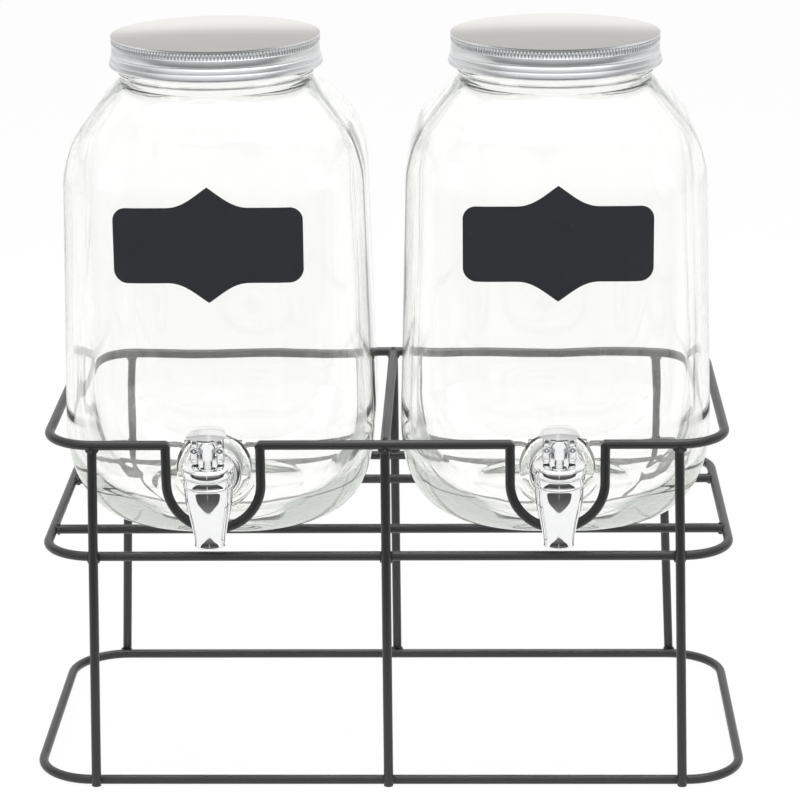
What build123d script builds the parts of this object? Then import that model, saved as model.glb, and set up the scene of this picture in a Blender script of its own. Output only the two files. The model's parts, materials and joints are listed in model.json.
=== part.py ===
import os
from math import cos, radians, sin, sqrt
from build123d import *

os.makedirs("parts", exist_ok=True)

# Frame, mm: X to the right, Y to the back, Z up, origin on the table under the middle of the rack.

# driving dimensions of the wire rack
wire_d = 5.0
weld_sink = 0.5          # how far a crossing wire is let into the ring that it is welded to
rail_z = 188.5
rail_side_gap = 3.0      # bare room between a jar's side and the rail
rail_front_gap = 2.5     # bare room between a jar's front or back and the rail
rail_corner_r = 26.0
shelf_z = 127.0
shelf_spread = 3.5       # how much wider than the rail, each side
shelf_corner_r = 26.0
base_spread_w = 11.5
base_spread_d = 3.0
base_corner_r = 30.0
leg_inset = 25.0         # leg tops, in from the ends of the rail
front_foot_inset = 32.5  # feet, in from the ends of the base ring
rear_foot_inset = 28.0
foot_z = 1.0
leg_short = 0.4          # legs stop this far below the rail's middle, inside its cope
shelf_bar_y = 42.0
loop_half_w = 24.5
loop_arm = 21.0
rail_end_chamfer = 2.4

# driving dimensions of the jars
jar_wide = 82.0          # half width just above the rounded bottom
jar_gap = 14.0           # room between the two jars
jar_lean = 2.5           # how far each wall leans in, from the bowl up to the shoulder
jar_foot = 50.0          # half width of the foot that stands on the bars
jar_core = 34.0          # half of the flat of each side
foot_core = 4.0
bowl_h = 55.0
side_h = 126.0           # straight part of the walls, between bowl and shoulder
shoulder_h = 53.0
neck_h = 22.7
neck_r = 50.6
neck_flare = 1.8         # how much wider the neck's foot is
neck_wall = 4.2
glass = 4.0
floor_t = 10.0
bead_rise = 5.4          # middle of the bead above the neck's foot
bead_h = 4.6
bead_out = 2.0

# driving dimensions of the lids
lid_gap = 1.2            # room between the neck's bead and the skirt
lid_h = 16.6
sheet = 0.8
skirt_t = 1.2
lid_edge_r = 1.1
curl_out = 1.9
knurl_h = 6.2
knurl_ribs = 150
knurl_in = 0.55          # how far the ribbed band lies inside the lid's edge
groove_h = 0.9
groove_in = 0.6
liner_t = 1.2
liner_gap = 0.4

# driving dimensions of the labels
label_w = 97.0
label_h = 39.0
label_corner_r = 7.0
label_tip = 10.4         # height of the point above the straight edge
label_tip_w = 42.0
label_drop = 18.0        # middle of the label below the shoulder
label_t = 0.3

# driving dimensions of the taps
tap_z = 43.3             # shank axis above the jar's foot
pad_r = 20.5
pad_out = 0.6
pad_in = 2.4
hole_r = 8.6
shank_r = 8.2
shank_bore_r = 5.2
flange_r = 14.7
flange_t = 2.5
washer_t = 2.0
washer_r = 14.4
nut_t = 7.0
nut_flats = 25.0
shank_over = 2.5
spout_out = 32.0         # spout axis in front of the pad
neck_tube_r = 7.4
spout_low = -29.4        # heights from here on are from the shank axis
seat_z = -8.0
band_low = 4.0
band_top = 8.4
barrel_top = 9.4
bonnet_shoulder = 12.8
bonnet_top = 14.6
pivot_z = 21.6
spout_r = 7.85
throat_r = 8.5           # spout's outside where it starts to swell
throat_z = -17.2
belly_r = 11.0
belly_z = -8.6
barrel_r = 12.5
band_out = 0.3
chamber_r = 8.6
outlet_r = 5.0
spigot_h = 3.8
bonnet_r = 13.7
bonnet_top_r = 9.6
plug_r = 6.8
plug_h = 5.0
stem_r = 2.4
stem_fit = 0.06
seal_r = 4.2
seal_t = 1.8
eye_half_w = 4.0
eye_half_d = 3.4
eye_low = -4.2           # the lever's own heights are from its pivot
eye_spring = 1.2
eye_top = 5.2
cheek_gap = 0.4
cheek_t = 4.2
pin_r = 1.5
pin_fit = 0.05
cam_gap = 0.3
cam_rise = 3.8           # stem lift per radian of lever, mm
lever_tilt_max = 65.0
plate_half_w = 10.3
plate_half_d = 8.2
plate_t = 2.6
plate_low = 8.6
plate_y = 0.4

# sizes that follow
wire_r = wire_d / 2
weld_step = wire_d - weld_sink
jar_x = jar_wide + jar_gap / 2
jar_z = shelf_z + wire_r
jar_narrow = jar_wide - jar_lean
shoulder_z = bowl_h + side_h
neck_z = shoulder_z + shoulder_h
rim_z = neck_z + neck_h
neck_foot_r = neck_r + neck_flare
mouth_r = neck_r - neck_wall
bead_z = neck_z + bead_rise
bead_r = neck_r + bead_out
label_z = shoulder_z - label_drop
lid_r = bead_r + lid_gap + skirt_t
rail_half_w = jar_x + jar_wide + rail_side_gap + wire_r
rail_half_d = jar_wide + rail_front_gap + wire_r
shelf_half_w = rail_half_w + shelf_spread
base_half_w = rail_half_w + base_spread_w
base_half_d = rail_half_d + base_spread_d
leg_top_x = rail_half_w - leg_inset
front_foot_x = base_half_w - front_foot_inset
rear_foot_x = base_half_w - rear_foot_inset
foot_y = base_half_d + weld_step


def leg_y(z):
    # legs lean outwards from the rail to the outside of the base ring
    return rail_half_d + (foot_y - rail_half_d) * (rail_z - z) / (rail_z - foot_z)


shelf_half_d = leg_y(shelf_z) - weld_step


def save(piece, name):
    piece.label = name
    export_step(piece, "parts/" + name + ".step")


def wire_along(path):
    with BuildPart() as wire:
        with BuildSketch(Plane(origin=path @ 0, z_dir=path % 0)):
            Circle(wire_r)
        sweep(path=path)
    return wire.part


def rod(start, end):
    with BuildLine() as run:
        Line(start, end)
    return wire_along(run.wire())


def cope(piece, *others):
    # cut a wire's end or flank to the wires that it is welded to
    with BuildPart() as cut:
        add(piece)
        for other in others:
            add(other, mode=Mode.SUBTRACT)
    return cut.part


def ring(half_w, half_d, corner_r, z):
    corners = [(-half_w, -half_d, z), (half_w, -half_d, z), (half_w, half_d, z), (-half_w, half_d, z)]
    with BuildLine() as run:
        FilletPolyline(*corners, radius=corner_r, close=True)
    return wire_along(run.wire())


def chamfer_end(piece, x, way):
    # cut the upper corner off a rail's end at x; way is +1 where the rail ends towards +X
    side = 4 * wire_d
    with BuildPart() as cut:
        add(piece)
        with Locations(Location((x, -rail_half_d, rail_z + wire_r), (0, 45 * way, 0))):
            shift = side / 2 - rail_end_chamfer / sqrt(2)
            with Locations((0, 0, shift)):
                Box(side, side, side, mode=Mode.SUBTRACT)
    return cut.part


# rack
base_ring = ring(base_half_w, base_half_d, base_corner_r, wire_r)
shelf_ring = ring(shelf_half_w, shelf_half_d, shelf_corner_r, shelf_z)

rail_end_x = jar_x + loop_half_w - wire_r
with BuildLine() as rail_run:
    FilletPolyline(
        (-rail_end_x, -rail_half_d, rail_z),
        (-rail_half_w, -rail_half_d, rail_z),
        (-rail_half_w, rail_half_d, rail_z),
        (rail_half_w, rail_half_d, rail_z),
        (rail_half_w, -rail_half_d, rail_z),
        (rail_end_x, -rail_half_d, rail_z),
        radius=rail_corner_r,
    )
top_rail = wire_along(rail_run.wire())
top_rail = chamfer_end(top_rail, -rail_end_x, 1)
top_rail = chamfer_end(top_rail, rail_end_x, -1)

middle_end_x = jar_x - loop_half_w + wire_r
front_rail = rod((-middle_end_x, -rail_half_d, rail_z), (middle_end_x, -rail_half_d, rail_z))
front_rail = chamfer_end(front_rail, -middle_end_x, -1)
front_rail = chamfer_end(front_rail, middle_end_x, 1)


def tap_loop(x):
    low = rail_z - loop_arm
    with BuildLine() as run:
        left_arm = Line((x - loop_half_w, -rail_half_d, rail_z), (x - loop_half_w, -rail_half_d, low))
        bow = ThreePointArc(
            left_arm @ 1,
            (x, -rail_half_d, low - loop_half_w),
            (x + loop_half_w, -rail_half_d, low),
        )
        Line(bow @ 1, (x + loop_half_w, -rail_half_d, rail_z))
    return cope(wire_along(run.wire()), top_rail, front_rail)


def leg(top_x, low_x, way):
    start = (top_x, way * rail_half_d, rail_z - leg_short)
    end = (low_x, way * foot_y, foot_z)
    return cope(rod(start, end), top_rail, front_rail, shelf_ring, base_ring)


legs = {
    "front_left_leg": leg(-leg_top_x, -front_foot_x, -1),
    "front_middle_leg": leg(0, 0, -1),
    "front_right_leg": leg(leg_top_x, front_foot_x, -1),
    "rear_left_leg": leg(-leg_top_x, -rear_foot_x, 1),
    "rear_middle_leg": leg(0, 0, 1),
    "rear_right_leg": leg(leg_top_x, rear_foot_x, 1),
}
divider = cope(
    rod((0, -rail_half_d, rail_z), (0, rail_half_d, rail_z)),
    top_rail, front_rail, legs["front_middle_leg"], legs["rear_middle_leg"],
)

save(base_ring, "base_ring")
save(shelf_ring, "shelf_ring")
save(top_rail, "top_rail")
save(front_rail, "front_rail_middle")
save(divider, "divider_bar")
save(tap_loop(-jar_x), "left_tap_loop")
save(tap_loop(jar_x), "right_tap_loop")
for name, piece in legs.items():
    save(piece, name)
for name, y in (("front_shelf_bar", -shelf_bar_y), ("rear_shelf_bar", shelf_bar_y)):
    save(cope(rod((-shelf_half_w, y, shelf_z), (shelf_half_w, y, shelf_z)), shelf_ring), name)


# jars: square sections whose corners grow round towards the foot and the neck
def bowl_rows(foot, wide, low, high):
    rows = []
    for step in range(7):
        turn = radians(15 * step)
        half = foot + (wide - foot) * sin(turn)
        z = low + (high - low) * (1 - cos(turn))
        rows.append((z, half, foot_core + (jar_core - foot_core) * sin(turn)))
    return rows


def shoulder_rows(narrow, neck, low, high):
    # share of the height, share of the way in to the neck
    shape = ((0, 0), (0.152, 0.038), (0.327, 0.118), (0.52, 0.256), (0.69, 0.488), (0.84, 0.72),
             (0.94, 0.907), (1, 1))
    rows = []
    for up, inward in shape:
        half = narrow - (narrow - neck) * inward
        rows.append((low + (high - low) * up, half, max(1.0, jar_core * sqrt(1 - up * up))))
    return rows


def sections(rows):
    faces = []
    for z, half, core in rows:
        with BuildSketch(Plane.XY.offset(z)) as square:
            RectangleRounded(2 * half, 2 * half, half - core)
        faces.append(square.sketch.face())
    return faces


def jar_form(bowl, top):
    with BuildPart() as form:
        loft(sections(bowl))
        loft(sections([bowl[-1], top[0]]), ruled=True)
        loft(sections(top))
    return form.part


def jar_outside(grow):
    bowl = bowl_rows(jar_foot + grow, jar_wide + grow, 0, bowl_h)
    top = shoulder_rows(jar_narrow + grow, neck_foot_r + grow, shoulder_z, neck_z)
    return jar_form(bowl, top)


def jar_inside():
    bowl = bowl_rows(jar_foot - glass, jar_wide - glass, floor_t, bowl_h)
    top = shoulder_rows(jar_narrow - glass, mouth_r + 1, shoulder_z, neck_z - glass / 2)
    with BuildPart() as form:
        add(jar_form(bowl, top))
        with BuildSketch(Plane.XZ.offset(-inner_pad_y)):
            with Locations((0, tap_z)):
                Circle(pad_r - pad_in)
        extrude(amount=jar_wide - jar_foot, mode=Mode.SUBTRACT)
    return form.part


face_y = -(jar_wide + pad_out)
inner_pad_y = -(jar_wide - glass - pad_in)


def glass_jar():
    bead_low = bead_z - bead_h / 2
    bead_high = bead_z + bead_h / 2
    with BuildPart() as jar:
        add(jar_outside(0))
        with BuildSketch(Plane.XZ):
            with BuildLine():
                Polyline((0, shoulder_z), (neck_r - glass, shoulder_z), (neck_r - glass, neck_z - glass),
                         (neck_foot_r - 0.5, neck_z), (neck_r, neck_z + 2), (neck_r, bead_low))
                ThreePointArc((neck_r, bead_low), (bead_r, bead_z), (neck_r, bead_high))
                Polyline((neck_r, bead_high), (neck_r, rim_z - 1.2), (neck_r - 1.2, rim_z), (0, rim_z),
                         (0, shoulder_z))
            make_face()
        revolve(axis=Axis.Z)
        with BuildSketch(Plane.XZ.offset(-face_y)):
            with Locations((0, tap_z)):
                Circle(pad_r)
        extrude(amount=-(jar_wide - jar_foot) / 2)
        add(jar_inside(), mode=Mode.SUBTRACT)
        with BuildSketch(Plane.XY.offset(shoulder_z)):
            Circle(mouth_r)
        extrude(amount=rim_z - shoulder_z + 1, mode=Mode.SUBTRACT)
        with BuildSketch(Plane.XZ.offset(-face_y + 1)):
            with Locations((0, tap_z)):
                Circle(hole_r)
        extrude(amount=-(jar_wide - jar_foot), mode=Mode.SUBTRACT)
        with BuildSketch(Plane.XZ.offset(-inner_pad_y)):
            with Locations((0, tap_z)):
                Circle(pad_r - pad_in)
        extrude(amount=-(jar_wide - jar_foot) / 2, mode=Mode.SUBTRACT)
    return jar.part


def chalk_label():
    half_h = label_h / 2
    tip = half_h + label_tip
    reach = label_tip_w / 2
    with BuildPart() as label:
        add(jar_outside(label_t))
        add(jar_outside(0), mode=Mode.SUBTRACT)
        with BuildSketch(Plane.XZ.offset(jar_foot)):
            with Locations((0, label_z)):
                RectangleRounded(label_w, label_h, label_corner_r)
            for way in (1, -1):
                edge = label_z + way * half_h
                root = label_z + way * (half_h - label_corner_r)
                peak = label_z + way * tip
                with BuildLine():
                    Polyline((reach, edge), (reach, root), (-reach, root), (-reach, edge))
                    Spline((-reach, edge), (0, peak), tangents=((1, 0), (1, way * 0.8)))
                    Spline((0, peak), (reach, edge), tangents=((1, -way * 0.8), (1, 0)))
                make_face()
        extrude(amount=jar_wide, mode=Mode.INTERSECT)
    return label.part


# lids
def lid_cap():
    top = rim_z + liner_t + sheet
    low = top - lid_h
    knurl_low = top - knurl_h
    knurl_top = top - lid_edge_r - 2 * knurl_in
    root = lid_r - knurl_in
    band = lid_r + 0.3
    inner = lid_r - skirt_t
    curl_mid = low + curl_out
    with BuildPart() as cap:
        with BuildSketch(Plane.XZ):
            with BuildLine():
                Line((0, top - sheet), (0, top))
                Line((0, top), (lid_r - lid_edge_r, top))
                RadiusArc((lid_r - lid_edge_r, top), (lid_r, top - lid_edge_r), lid_edge_r)
                Polyline((lid_r, top - lid_edge_r), (lid_r, knurl_top + knurl_in), (root, knurl_top), (root, knurl_low),
                         (lid_r - groove_in, knurl_low - groove_h), (band, knurl_low - 2 * groove_h),
                         (band, curl_mid + curl_out))
                ThreePointArc((band, curl_mid + curl_out), (lid_r + curl_out, curl_mid), (band, low))
                Polyline((band, low), (inner, low), (inner, top - sheet), (0, top - sheet))
            make_face()
        revolve(axis=Axis.Z)
        with BuildSketch(Plane.XY.offset(knurl_low)):
            with PolarLocations(root, knurl_ribs):
                Circle(knurl_in)
        extrude(amount=knurl_top - knurl_low)
    return cap.part


def disc(radius, low, high):
    with BuildPart() as plate:
        with BuildSketch(Plane.XY.offset(low)):
            Circle(radius)
        extrude(amount=high - low)
    return plate.part


# taps: the shank runs along Y through the pad, the spout hangs on its own upright axis
spout_y = face_y - spout_out
flange_back_y = face_y - washer_t
flange_front_y = flange_back_y - flange_t
nut_y = inner_pad_y + washer_t
shank_end_y = nut_y + nut_t + shank_over


def washer(back_y):
    with BuildPart() as ring_piece:
        with BuildSketch(Plane.XZ.offset(-back_y)):
            with Locations((0, tap_z)):
                Circle(washer_r)
                Circle(shank_r, mode=Mode.SUBTRACT)
        extrude(amount=washer_t)
    return ring_piece.part


def lock_nut():
    with BuildPart() as nut:
        with BuildSketch(Plane.XZ.offset(-nut_y - nut_t)):
            with Locations((0, tap_z)):
                RegularPolygon(nut_flats / 2, 6, major_radius=False)
                Circle(shank_r, mode=Mode.SUBTRACT)
        extrude(amount=nut_t)
    return nut.part


spout_axis = Axis((0, spout_y, 0), (0, 0, 1))
spout_plane = Plane(origin=(0, spout_y, tap_z), x_dir=(1, 0, 0), z_dir=(0, -1, 0))


def tap_body():
    with BuildPart() as body:
        with BuildSketch(Plane.XZ.offset(-shank_end_y)):
            with Locations((0, tap_z)):
                Circle(shank_r)
        extrude(amount=shank_end_y - flange_front_y)
        with BuildSketch(Plane.XZ.offset(-flange_back_y)):
            with Locations((0, tap_z)):
                Circle(flange_r)
        extrude(amount=flange_t, taper=12)
        with BuildSketch(Plane.XZ.offset(-flange_front_y)):
            with Locations((0, tap_z)):
                Circle(neck_tube_r)
        extrude(amount=flange_front_y - spout_y)
        with BuildSketch(spout_plane):
            with BuildLine():
                Polyline((barrel_r, band_low), (barrel_r + band_out, band_low), (barrel_r + band_out, band_top),
                         (barrel_r, band_top), (barrel_r, barrel_top), (0, barrel_top), (0, spout_low),
                         (spout_r, spout_low))
                Spline((spout_r, spout_low), (throat_r, throat_z), (belly_r, belly_z), (barrel_r, band_low),
                       tangents=((0, 1), (0.05, 1)))
            make_face()
        revolve(axis=spout_axis)
        with BuildSketch(Plane.XZ.offset(-shank_end_y)):
            with Locations((0, tap_z)):
                Circle(shank_bore_r)
        extrude(amount=shank_end_y - spout_y, mode=Mode.SUBTRACT)
        with BuildSketch(Plane.XY.offset(tap_z + seat_z)):
            with Locations((0, spout_y)):
                Circle(chamber_r)
        extrude(amount=barrel_top - seat_z, mode=Mode.SUBTRACT)
        with BuildSketch(Plane.XY.offset(tap_z + spout_low)):
            with Locations((0, spout_y)):
                Circle(outlet_r)
        extrude(amount=seat_z - spout_low, mode=Mode.SUBTRACT)
    return body.part


spigot_low = barrel_top - spigot_h


def tap_bonnet():
    with BuildPart() as bonnet:
        with BuildSketch(spout_plane):
            with BuildLine():
                Polyline((stem_r + stem_fit, spigot_low + seal_t), (seal_r, spigot_low + seal_t),
                         (seal_r, spigot_low), (chamber_r, spigot_low), (chamber_r, barrel_top),
                         (bonnet_r, barrel_top), (bonnet_r, bonnet_shoulder), (bonnet_top_r, bonnet_top),
                         (stem_r + stem_fit, bonnet_top), close=True)
            make_face()
        revolve(axis=spout_axis)
    return bonnet.part


def stem_seal():
    with BuildPart() as seal:
        with BuildSketch(Plane.XY.offset(tap_z + spigot_low)):
            with Locations((0, spout_y)):
                Circle(seal_r)
                Circle(stem_r + stem_fit, mode=Mode.SUBTRACT)
        extrude(amount=seal_t)
    return seal.part


stem_low = seat_z + plug_h * 0.4


def valve_plug():
    with BuildPart() as plug:
        with BuildSketch(Plane.XY.offset(tap_z + seat_z)):
            with Locations((0, spout_y)):
                Circle(plug_r)
        extrude(amount=plug_h)
        chamfer(plug.edges().group_by(Axis.Z)[-1], 0.8)
        with BuildSketch(Plane.XY.offset(tap_z + stem_low)):
            with Locations((0, spout_y)):
                Circle(stem_r)
        extrude(amount=plug_h, mode=Mode.SUBTRACT)
    return plug.part


def valve_stem():
    low = pivot_z + eye_low
    spring = pivot_z + eye_spring
    with BuildPart() as stem:
        with BuildSketch(Plane.XY.offset(tap_z + stem_low)):
            with Locations((0, spout_y)):
                Circle(stem_r)
        extrude(amount=low - stem_low)
        with BuildSketch(spout_plane.offset(-eye_half_d)):
            with BuildLine():
                Polyline((-eye_half_w, spring), (-eye_half_w, low), (eye_half_w, low), (eye_half_w, spring))
                ThreePointArc((eye_half_w, spring), (eye_half_w * 0.66, pivot_z + eye_top * 0.72),
                              (0, pivot_z + eye_top))
                ThreePointArc((0, pivot_z + eye_top), (-eye_half_w * 0.66, pivot_z + eye_top * 0.72),
                              (-eye_half_w, spring))
            make_face()
        extrude(amount=2 * eye_half_d)
        with BuildSketch(Plane.YZ.offset(-eye_half_w)):
            with Locations((spout_y, tap_z + pivot_z)):
                Circle(pin_r + pin_fit)
        extrude(amount=2 * eye_half_w, mode=Mode.SUBTRACT)
    return stem.part


def cam_point(tilt):
    # heel of the lever: its lowest tangent rises with the stem, so it just clears the bonnet
    turn = radians(tilt)
    reach = pivot_z - bonnet_top - cam_gap + cam_rise * turn
    y = -reach * sin(turn) - cam_rise * cos(turn)
    z = -reach * cos(turn) + cam_rise * sin(turn)
    return y, z


cheek_in = eye_half_w + cheek_gap
cheek_out = cheek_in + cheek_t


def tap_lever():
    heel = [cam_point(lever_tilt_max * step / 6) for step in range(7)]
    back = eye_half_d * 1.3
    lever_plane = Plane(origin=(-cheek_out, spout_y, tap_z + pivot_z), x_dir=(0, 1, 0), z_dir=(1, 0, 0))
    with BuildPart() as lever:
        with BuildSketch(lever_plane):
            with BuildLine():
                Spline(*heel)
                Spline(heel[-1], (-eye_half_d * 1.6, plate_low * 0.55), (-back, plate_low))
                Polyline((-back, plate_low), (back, plate_low), (back, eye_low))
                Line((back, eye_low), (eye_half_d * 0.8, heel[0][1]))
                Line((eye_half_d * 0.8, heel[0][1]), heel[0])
            make_face()
        extrude(amount=2 * cheek_out)
        with BuildSketch(lever_plane.offset(cheek_t)):
            with Locations((0, (plate_low - 3 * plate_t) / 2)):
                Rectangle(8 * eye_half_d, plate_low + 3 * plate_t)
        extrude(amount=2 * cheek_in, mode=Mode.SUBTRACT)
        with BuildSketch(Plane.XY.offset(tap_z + pivot_z + plate_low)):
            with Locations((0, spout_y + plate_y)):
                Ellipse(plate_half_w, plate_half_d)
        extrude(amount=plate_t)
        fillet(lever.edges().group_by(Axis.Z)[-1], plate_t * 0.35)
        with BuildSketch(lever_plane):
            Circle(pin_r)
        extrude(amount=2 * cheek_out, mode=Mode.SUBTRACT)
    return lever.part


def pivot_pin():
    with BuildPart() as pin:
        with BuildSketch(Plane.YZ.offset(-cheek_out)):
            with Locations((spout_y, tap_z + pivot_z)):
                Circle(pin_r)
        extrude(amount=2 * cheek_out)
    return pin.part


jar_set = {
    "glass_jar": glass_jar(),
    "chalk_label": chalk_label(),
    "lid_liner": disc(lid_r - skirt_t - liner_gap, rim_z, rim_z + liner_t),
    "lid_cap": lid_cap(),
    "outer_washer": washer(face_y),
    "inner_washer": washer(nut_y),
    "lock_nut": lock_nut(),
    "tap_body": tap_body(),
    "tap_bonnet": tap_bonnet(),
    "stem_seal": stem_seal(),
    "valve_stem": valve_stem(),
    "valve_plug": valve_plug(),
    "tap_lever": tap_lever(),
    "pivot_pin": pivot_pin(),
}
for side, x in (("left", -jar_x), ("right", jar_x)):
    for name, piece in jar_set.items():
        save(piece.moved(Location((x, 0, jar_z))), side + "_" + name)
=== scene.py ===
import json
import math
import bmesh
import bpy
from mathutils import Matrix, Vector, noise


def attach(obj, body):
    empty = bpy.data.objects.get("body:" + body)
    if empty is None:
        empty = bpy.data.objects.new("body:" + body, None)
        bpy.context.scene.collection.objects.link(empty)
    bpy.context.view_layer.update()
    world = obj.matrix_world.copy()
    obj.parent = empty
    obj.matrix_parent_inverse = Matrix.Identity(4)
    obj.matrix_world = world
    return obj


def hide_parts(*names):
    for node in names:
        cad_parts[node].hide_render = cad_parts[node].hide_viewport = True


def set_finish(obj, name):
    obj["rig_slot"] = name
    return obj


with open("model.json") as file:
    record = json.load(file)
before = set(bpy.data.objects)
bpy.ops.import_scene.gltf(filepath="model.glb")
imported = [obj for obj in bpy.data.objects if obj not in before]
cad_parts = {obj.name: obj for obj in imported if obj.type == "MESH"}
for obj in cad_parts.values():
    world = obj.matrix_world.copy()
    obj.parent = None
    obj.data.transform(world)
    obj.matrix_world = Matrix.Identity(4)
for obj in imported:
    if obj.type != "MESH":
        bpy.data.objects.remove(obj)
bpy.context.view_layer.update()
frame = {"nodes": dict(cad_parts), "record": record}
nodes = frame["nodes"]
mm = 0.001
sides = {"left": -0.089, "right": 0.089}  # x of each jar's axis
print("frame loaded:", len(nodes), "nodes")


# shader maths: a socket that can be added, multiplied and compared
class Flow:
    def __init__(self, finish, socket):
        self.finish = finish
        self.socket = socket

    def maths(self, operation, other=0.0, flip=False):
        first, second = (other, self) if flip else (self, other)
        return self.finish.add("ShaderNodeMath", {"operation": operation}, {0: first, 1: second})

    def __add__(self, other):
        return self.maths("ADD", other)

    def __sub__(self, other):
        return self.maths("SUBTRACT", other)

    def __mul__(self, other):
        return self.maths("MULTIPLY", other)

    def __truediv__(self, other):
        return self.maths("DIVIDE", other)

    def __pow__(self, other):
        return self.maths("POWER", other)

    def __rsub__(self, other):
        return self.maths("SUBTRACT", other, True)

    def __gt__(self, other):
        return self.maths("GREATER_THAN", other)

    def __abs__(self):
        return self.maths("ABSOLUTE")

    __radd__ = __add__
    __rmul__ = __mul__


class Finish:
    def __init__(self, tree):
        self.tree = tree
        self.tree.nodes.clear()

    def add(self, kind, settings=None, sockets=None, out=0):
        made = self.tree.nodes.new(kind)
        for name, value in (settings or {}).items():
            setattr(made, name, value)
        for name, value in (sockets or {}).items():
            if isinstance(value, Flow):
                self.tree.links.new(value.socket, made.inputs[name])
            else:
                made.inputs[name].default_value = value
        return Flow(self, made.outputs[out]) if made.outputs else None

    def spots(self, size, detail=3.0, rough=0.5, stretch=(1, 1, 1)):
        # noise whose grains are about this many metres across
        place = self.add("ShaderNodeTexCoord", out="Object")
        turned = self.add("ShaderNodeMapping", None, {"Vector": place, "Scale": stretch})
        return self.add("ShaderNodeTexNoise", None,
                        {"Vector": turned, "Scale": 1 / size, "Detail": detail, "Roughness": rough})

    def between(self, low, high, share):
        return self.add("ShaderNodeMix", {"data_type": "RGBA"},
                        {"Factor": share, 6: (*low, 1), 7: (*high, 1)}, out=2)

    def ramp(self, value, start, end):
        # 0 at the start and 1 at the end, held beyond both
        return self.add("ShaderNodeMapRange", None,
                        {"Value": value, "From Min": start, "From Max": end, "To Min": 0, "To Max": 1})

    def bump(self, height, distance, strength=1.0):
        return self.add("ShaderNodeBump", None, {"Height": height, "Distance": distance, "Strength": strength})

    def surface(self, **sockets):
        named = {name.replace("_", " "): value for name, value in sockets.items()}
        return self.add("ShaderNodeBsdfPrincipled", None, named)

    def close(self, shader):
        self.add("ShaderNodeOutputMaterial", None, {"Surface": shader})


def newFinish(name):
    material = bpy.data.materials.new(name)
    material.use_nodes = True
    return material, Finish(material.node_tree)


# finishes
def powderCoat():
    material, coat = newFinish("blackPowderCoat")
    grain = coat.spots(0.0009, 2)
    cloud = coat.spots(0.03, 2)
    shade = coat.between((0.011, 0.011, 0.0122), (0.021, 0.0207, 0.022), cloud)
    coat.close(coat.surface(Base_Color=shade, Roughness=0.27 + 0.12 * grain, Specular_IOR_Level=0.55,
                            Normal=coat.bump(grain, 0.00006, 0.5)))
    return material


def clearGlass():
    material, glass = newFinish("clearGlass")
    wave = glass.spots(0.035, 2, 0.4, (1, 1, 0.6))
    streak = glass.spots(0.012, 1, 0.4, (1, 1, 0.35))
    tint = glass.between((0.997, 0.995, 0.986), (1.0, 0.999, 0.993), wave)
    pane = glass.surface(Base_Color=tint, Roughness=0.0, IOR=1.45, Transmission_Weight=0.98, Specular_IOR_Level=0.4,
                         Normal=glass.bump(wave + 0.25 * streak, 0.0006, 0.35))
    path = glass.add("ShaderNodeLightPath").socket.node.outputs
    trapped = Flow(glass, path["Glossy Depth"]) > 2.5  # light caught in the thick foot leaves it here
    dim = glass.add("ShaderNodeBsdfTransparent", None, {"Color": (0.58, 0.61, 0.57, 1)})
    clear = glass.add("ShaderNodeBsdfTransparent", None, {"Color": (0.93, 0.94, 0.925, 1)})
    lit = glass.add("ShaderNodeMixShader", None, {0: trapped, 1: pane, 2: dim})
    glass.close(glass.add("ShaderNodeMixShader", None, {0: Flow(glass, path["Is Shadow Ray"]), 1: lit, 2: clear}))
    return material


def chalkVinyl():
    material, vinyl = newFinish("chalkVinyl")
    grain = vinyl.spots(0.0007, 3)
    haze = vinyl.spots(0.02, 3, 0.6, (1, 1, 1.6))
    dust = vinyl.spots(0.0022, 1, 0.3) > 0.735
    shade = vinyl.between((0.0118, 0.0130, 0.0160), (0.0230, 0.0245, 0.0288), haze)
    speck = vinyl.add("ShaderNodeMix", {"data_type": "RGBA"},
                      {"Factor": dust * 0.06, 6: shade, 7: (0.11, 0.11, 0.112, 1)}, out=2)
    vinyl.close(vinyl.surface(Base_Color=speck, Roughness=0.62 + 0.2 * haze, Specular_IOR_Level=0.4,
                              Normal=vinyl.bump(grain, 0.00005, 0.6)))
    return material


def brushedLid():
    material, lid = newFinish("brushedLid")
    lines = lid.spots(0.0011, 2, 0.6, (0.02, 1, 0.2))
    cloud = lid.spots(0.025, 2)
    facing = lid.add("ShaderNodeNewGeometry").socket.node.outputs["Normal"]
    split = lid.add("ShaderNodeSeparateXYZ", None, {0: Flow(lid, facing)}).socket.node.outputs
    # faces that point up get a warm beige, a painted warm light on the top; the sides and knurl keep a plain grey
    flat = lid.ramp(Flow(lid, split["Z"]), 0.80, 0.97)
    skirt = lid.between((0.76, 0.77, 0.78), (0.86, 0.87, 0.88), lines)
    warmLitTop = lid.between((0.79, 0.772, 0.735), (0.86, 0.842, 0.80), lines)
    shade = lid.add("ShaderNodeMix", {"data_type": "RGBA"}, {"Factor": flat, 6: skirt, 7: warmLitTop}, out=2)
    lid.close(lid.surface(Base_Color=shade, Metallic=1.0, Roughness=0.33 - 0.26 * flat + 0.03 * cloud,
                          Normal=lid.bump(lines, 0.00002, 0.5)))
    return material


def platedChrome():
    material, chrome = newFinish("platedChrome")
    ripple = chrome.spots(0.006, 2)
    haze = chrome.spots(0.0015, 2)
    shade = chrome.between((0.86, 0.865, 0.875), (0.95, 0.95, 0.958), ripple)
    chrome.close(chrome.surface(Base_Color=shade, Metallic=1.0, Roughness=0.035 + 0.05 * haze,
                                Normal=chrome.bump(ripple, 0.0002, 0.12)))
    return material


def sealSilicone():
    material, seal = newFinish("sealSilicone")
    cloud = seal.spots(0.004, 2)
    shade = seal.between((0.70, 0.71, 0.70), (0.80, 0.81, 0.80), cloud)
    seal.close(seal.surface(Base_Color=shade, Roughness=0.4 + 0.15 * cloud, Transmission_Weight=0.25,
                            Normal=seal.bump(cloud, 0.0001, 0.3)))
    return material


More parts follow.
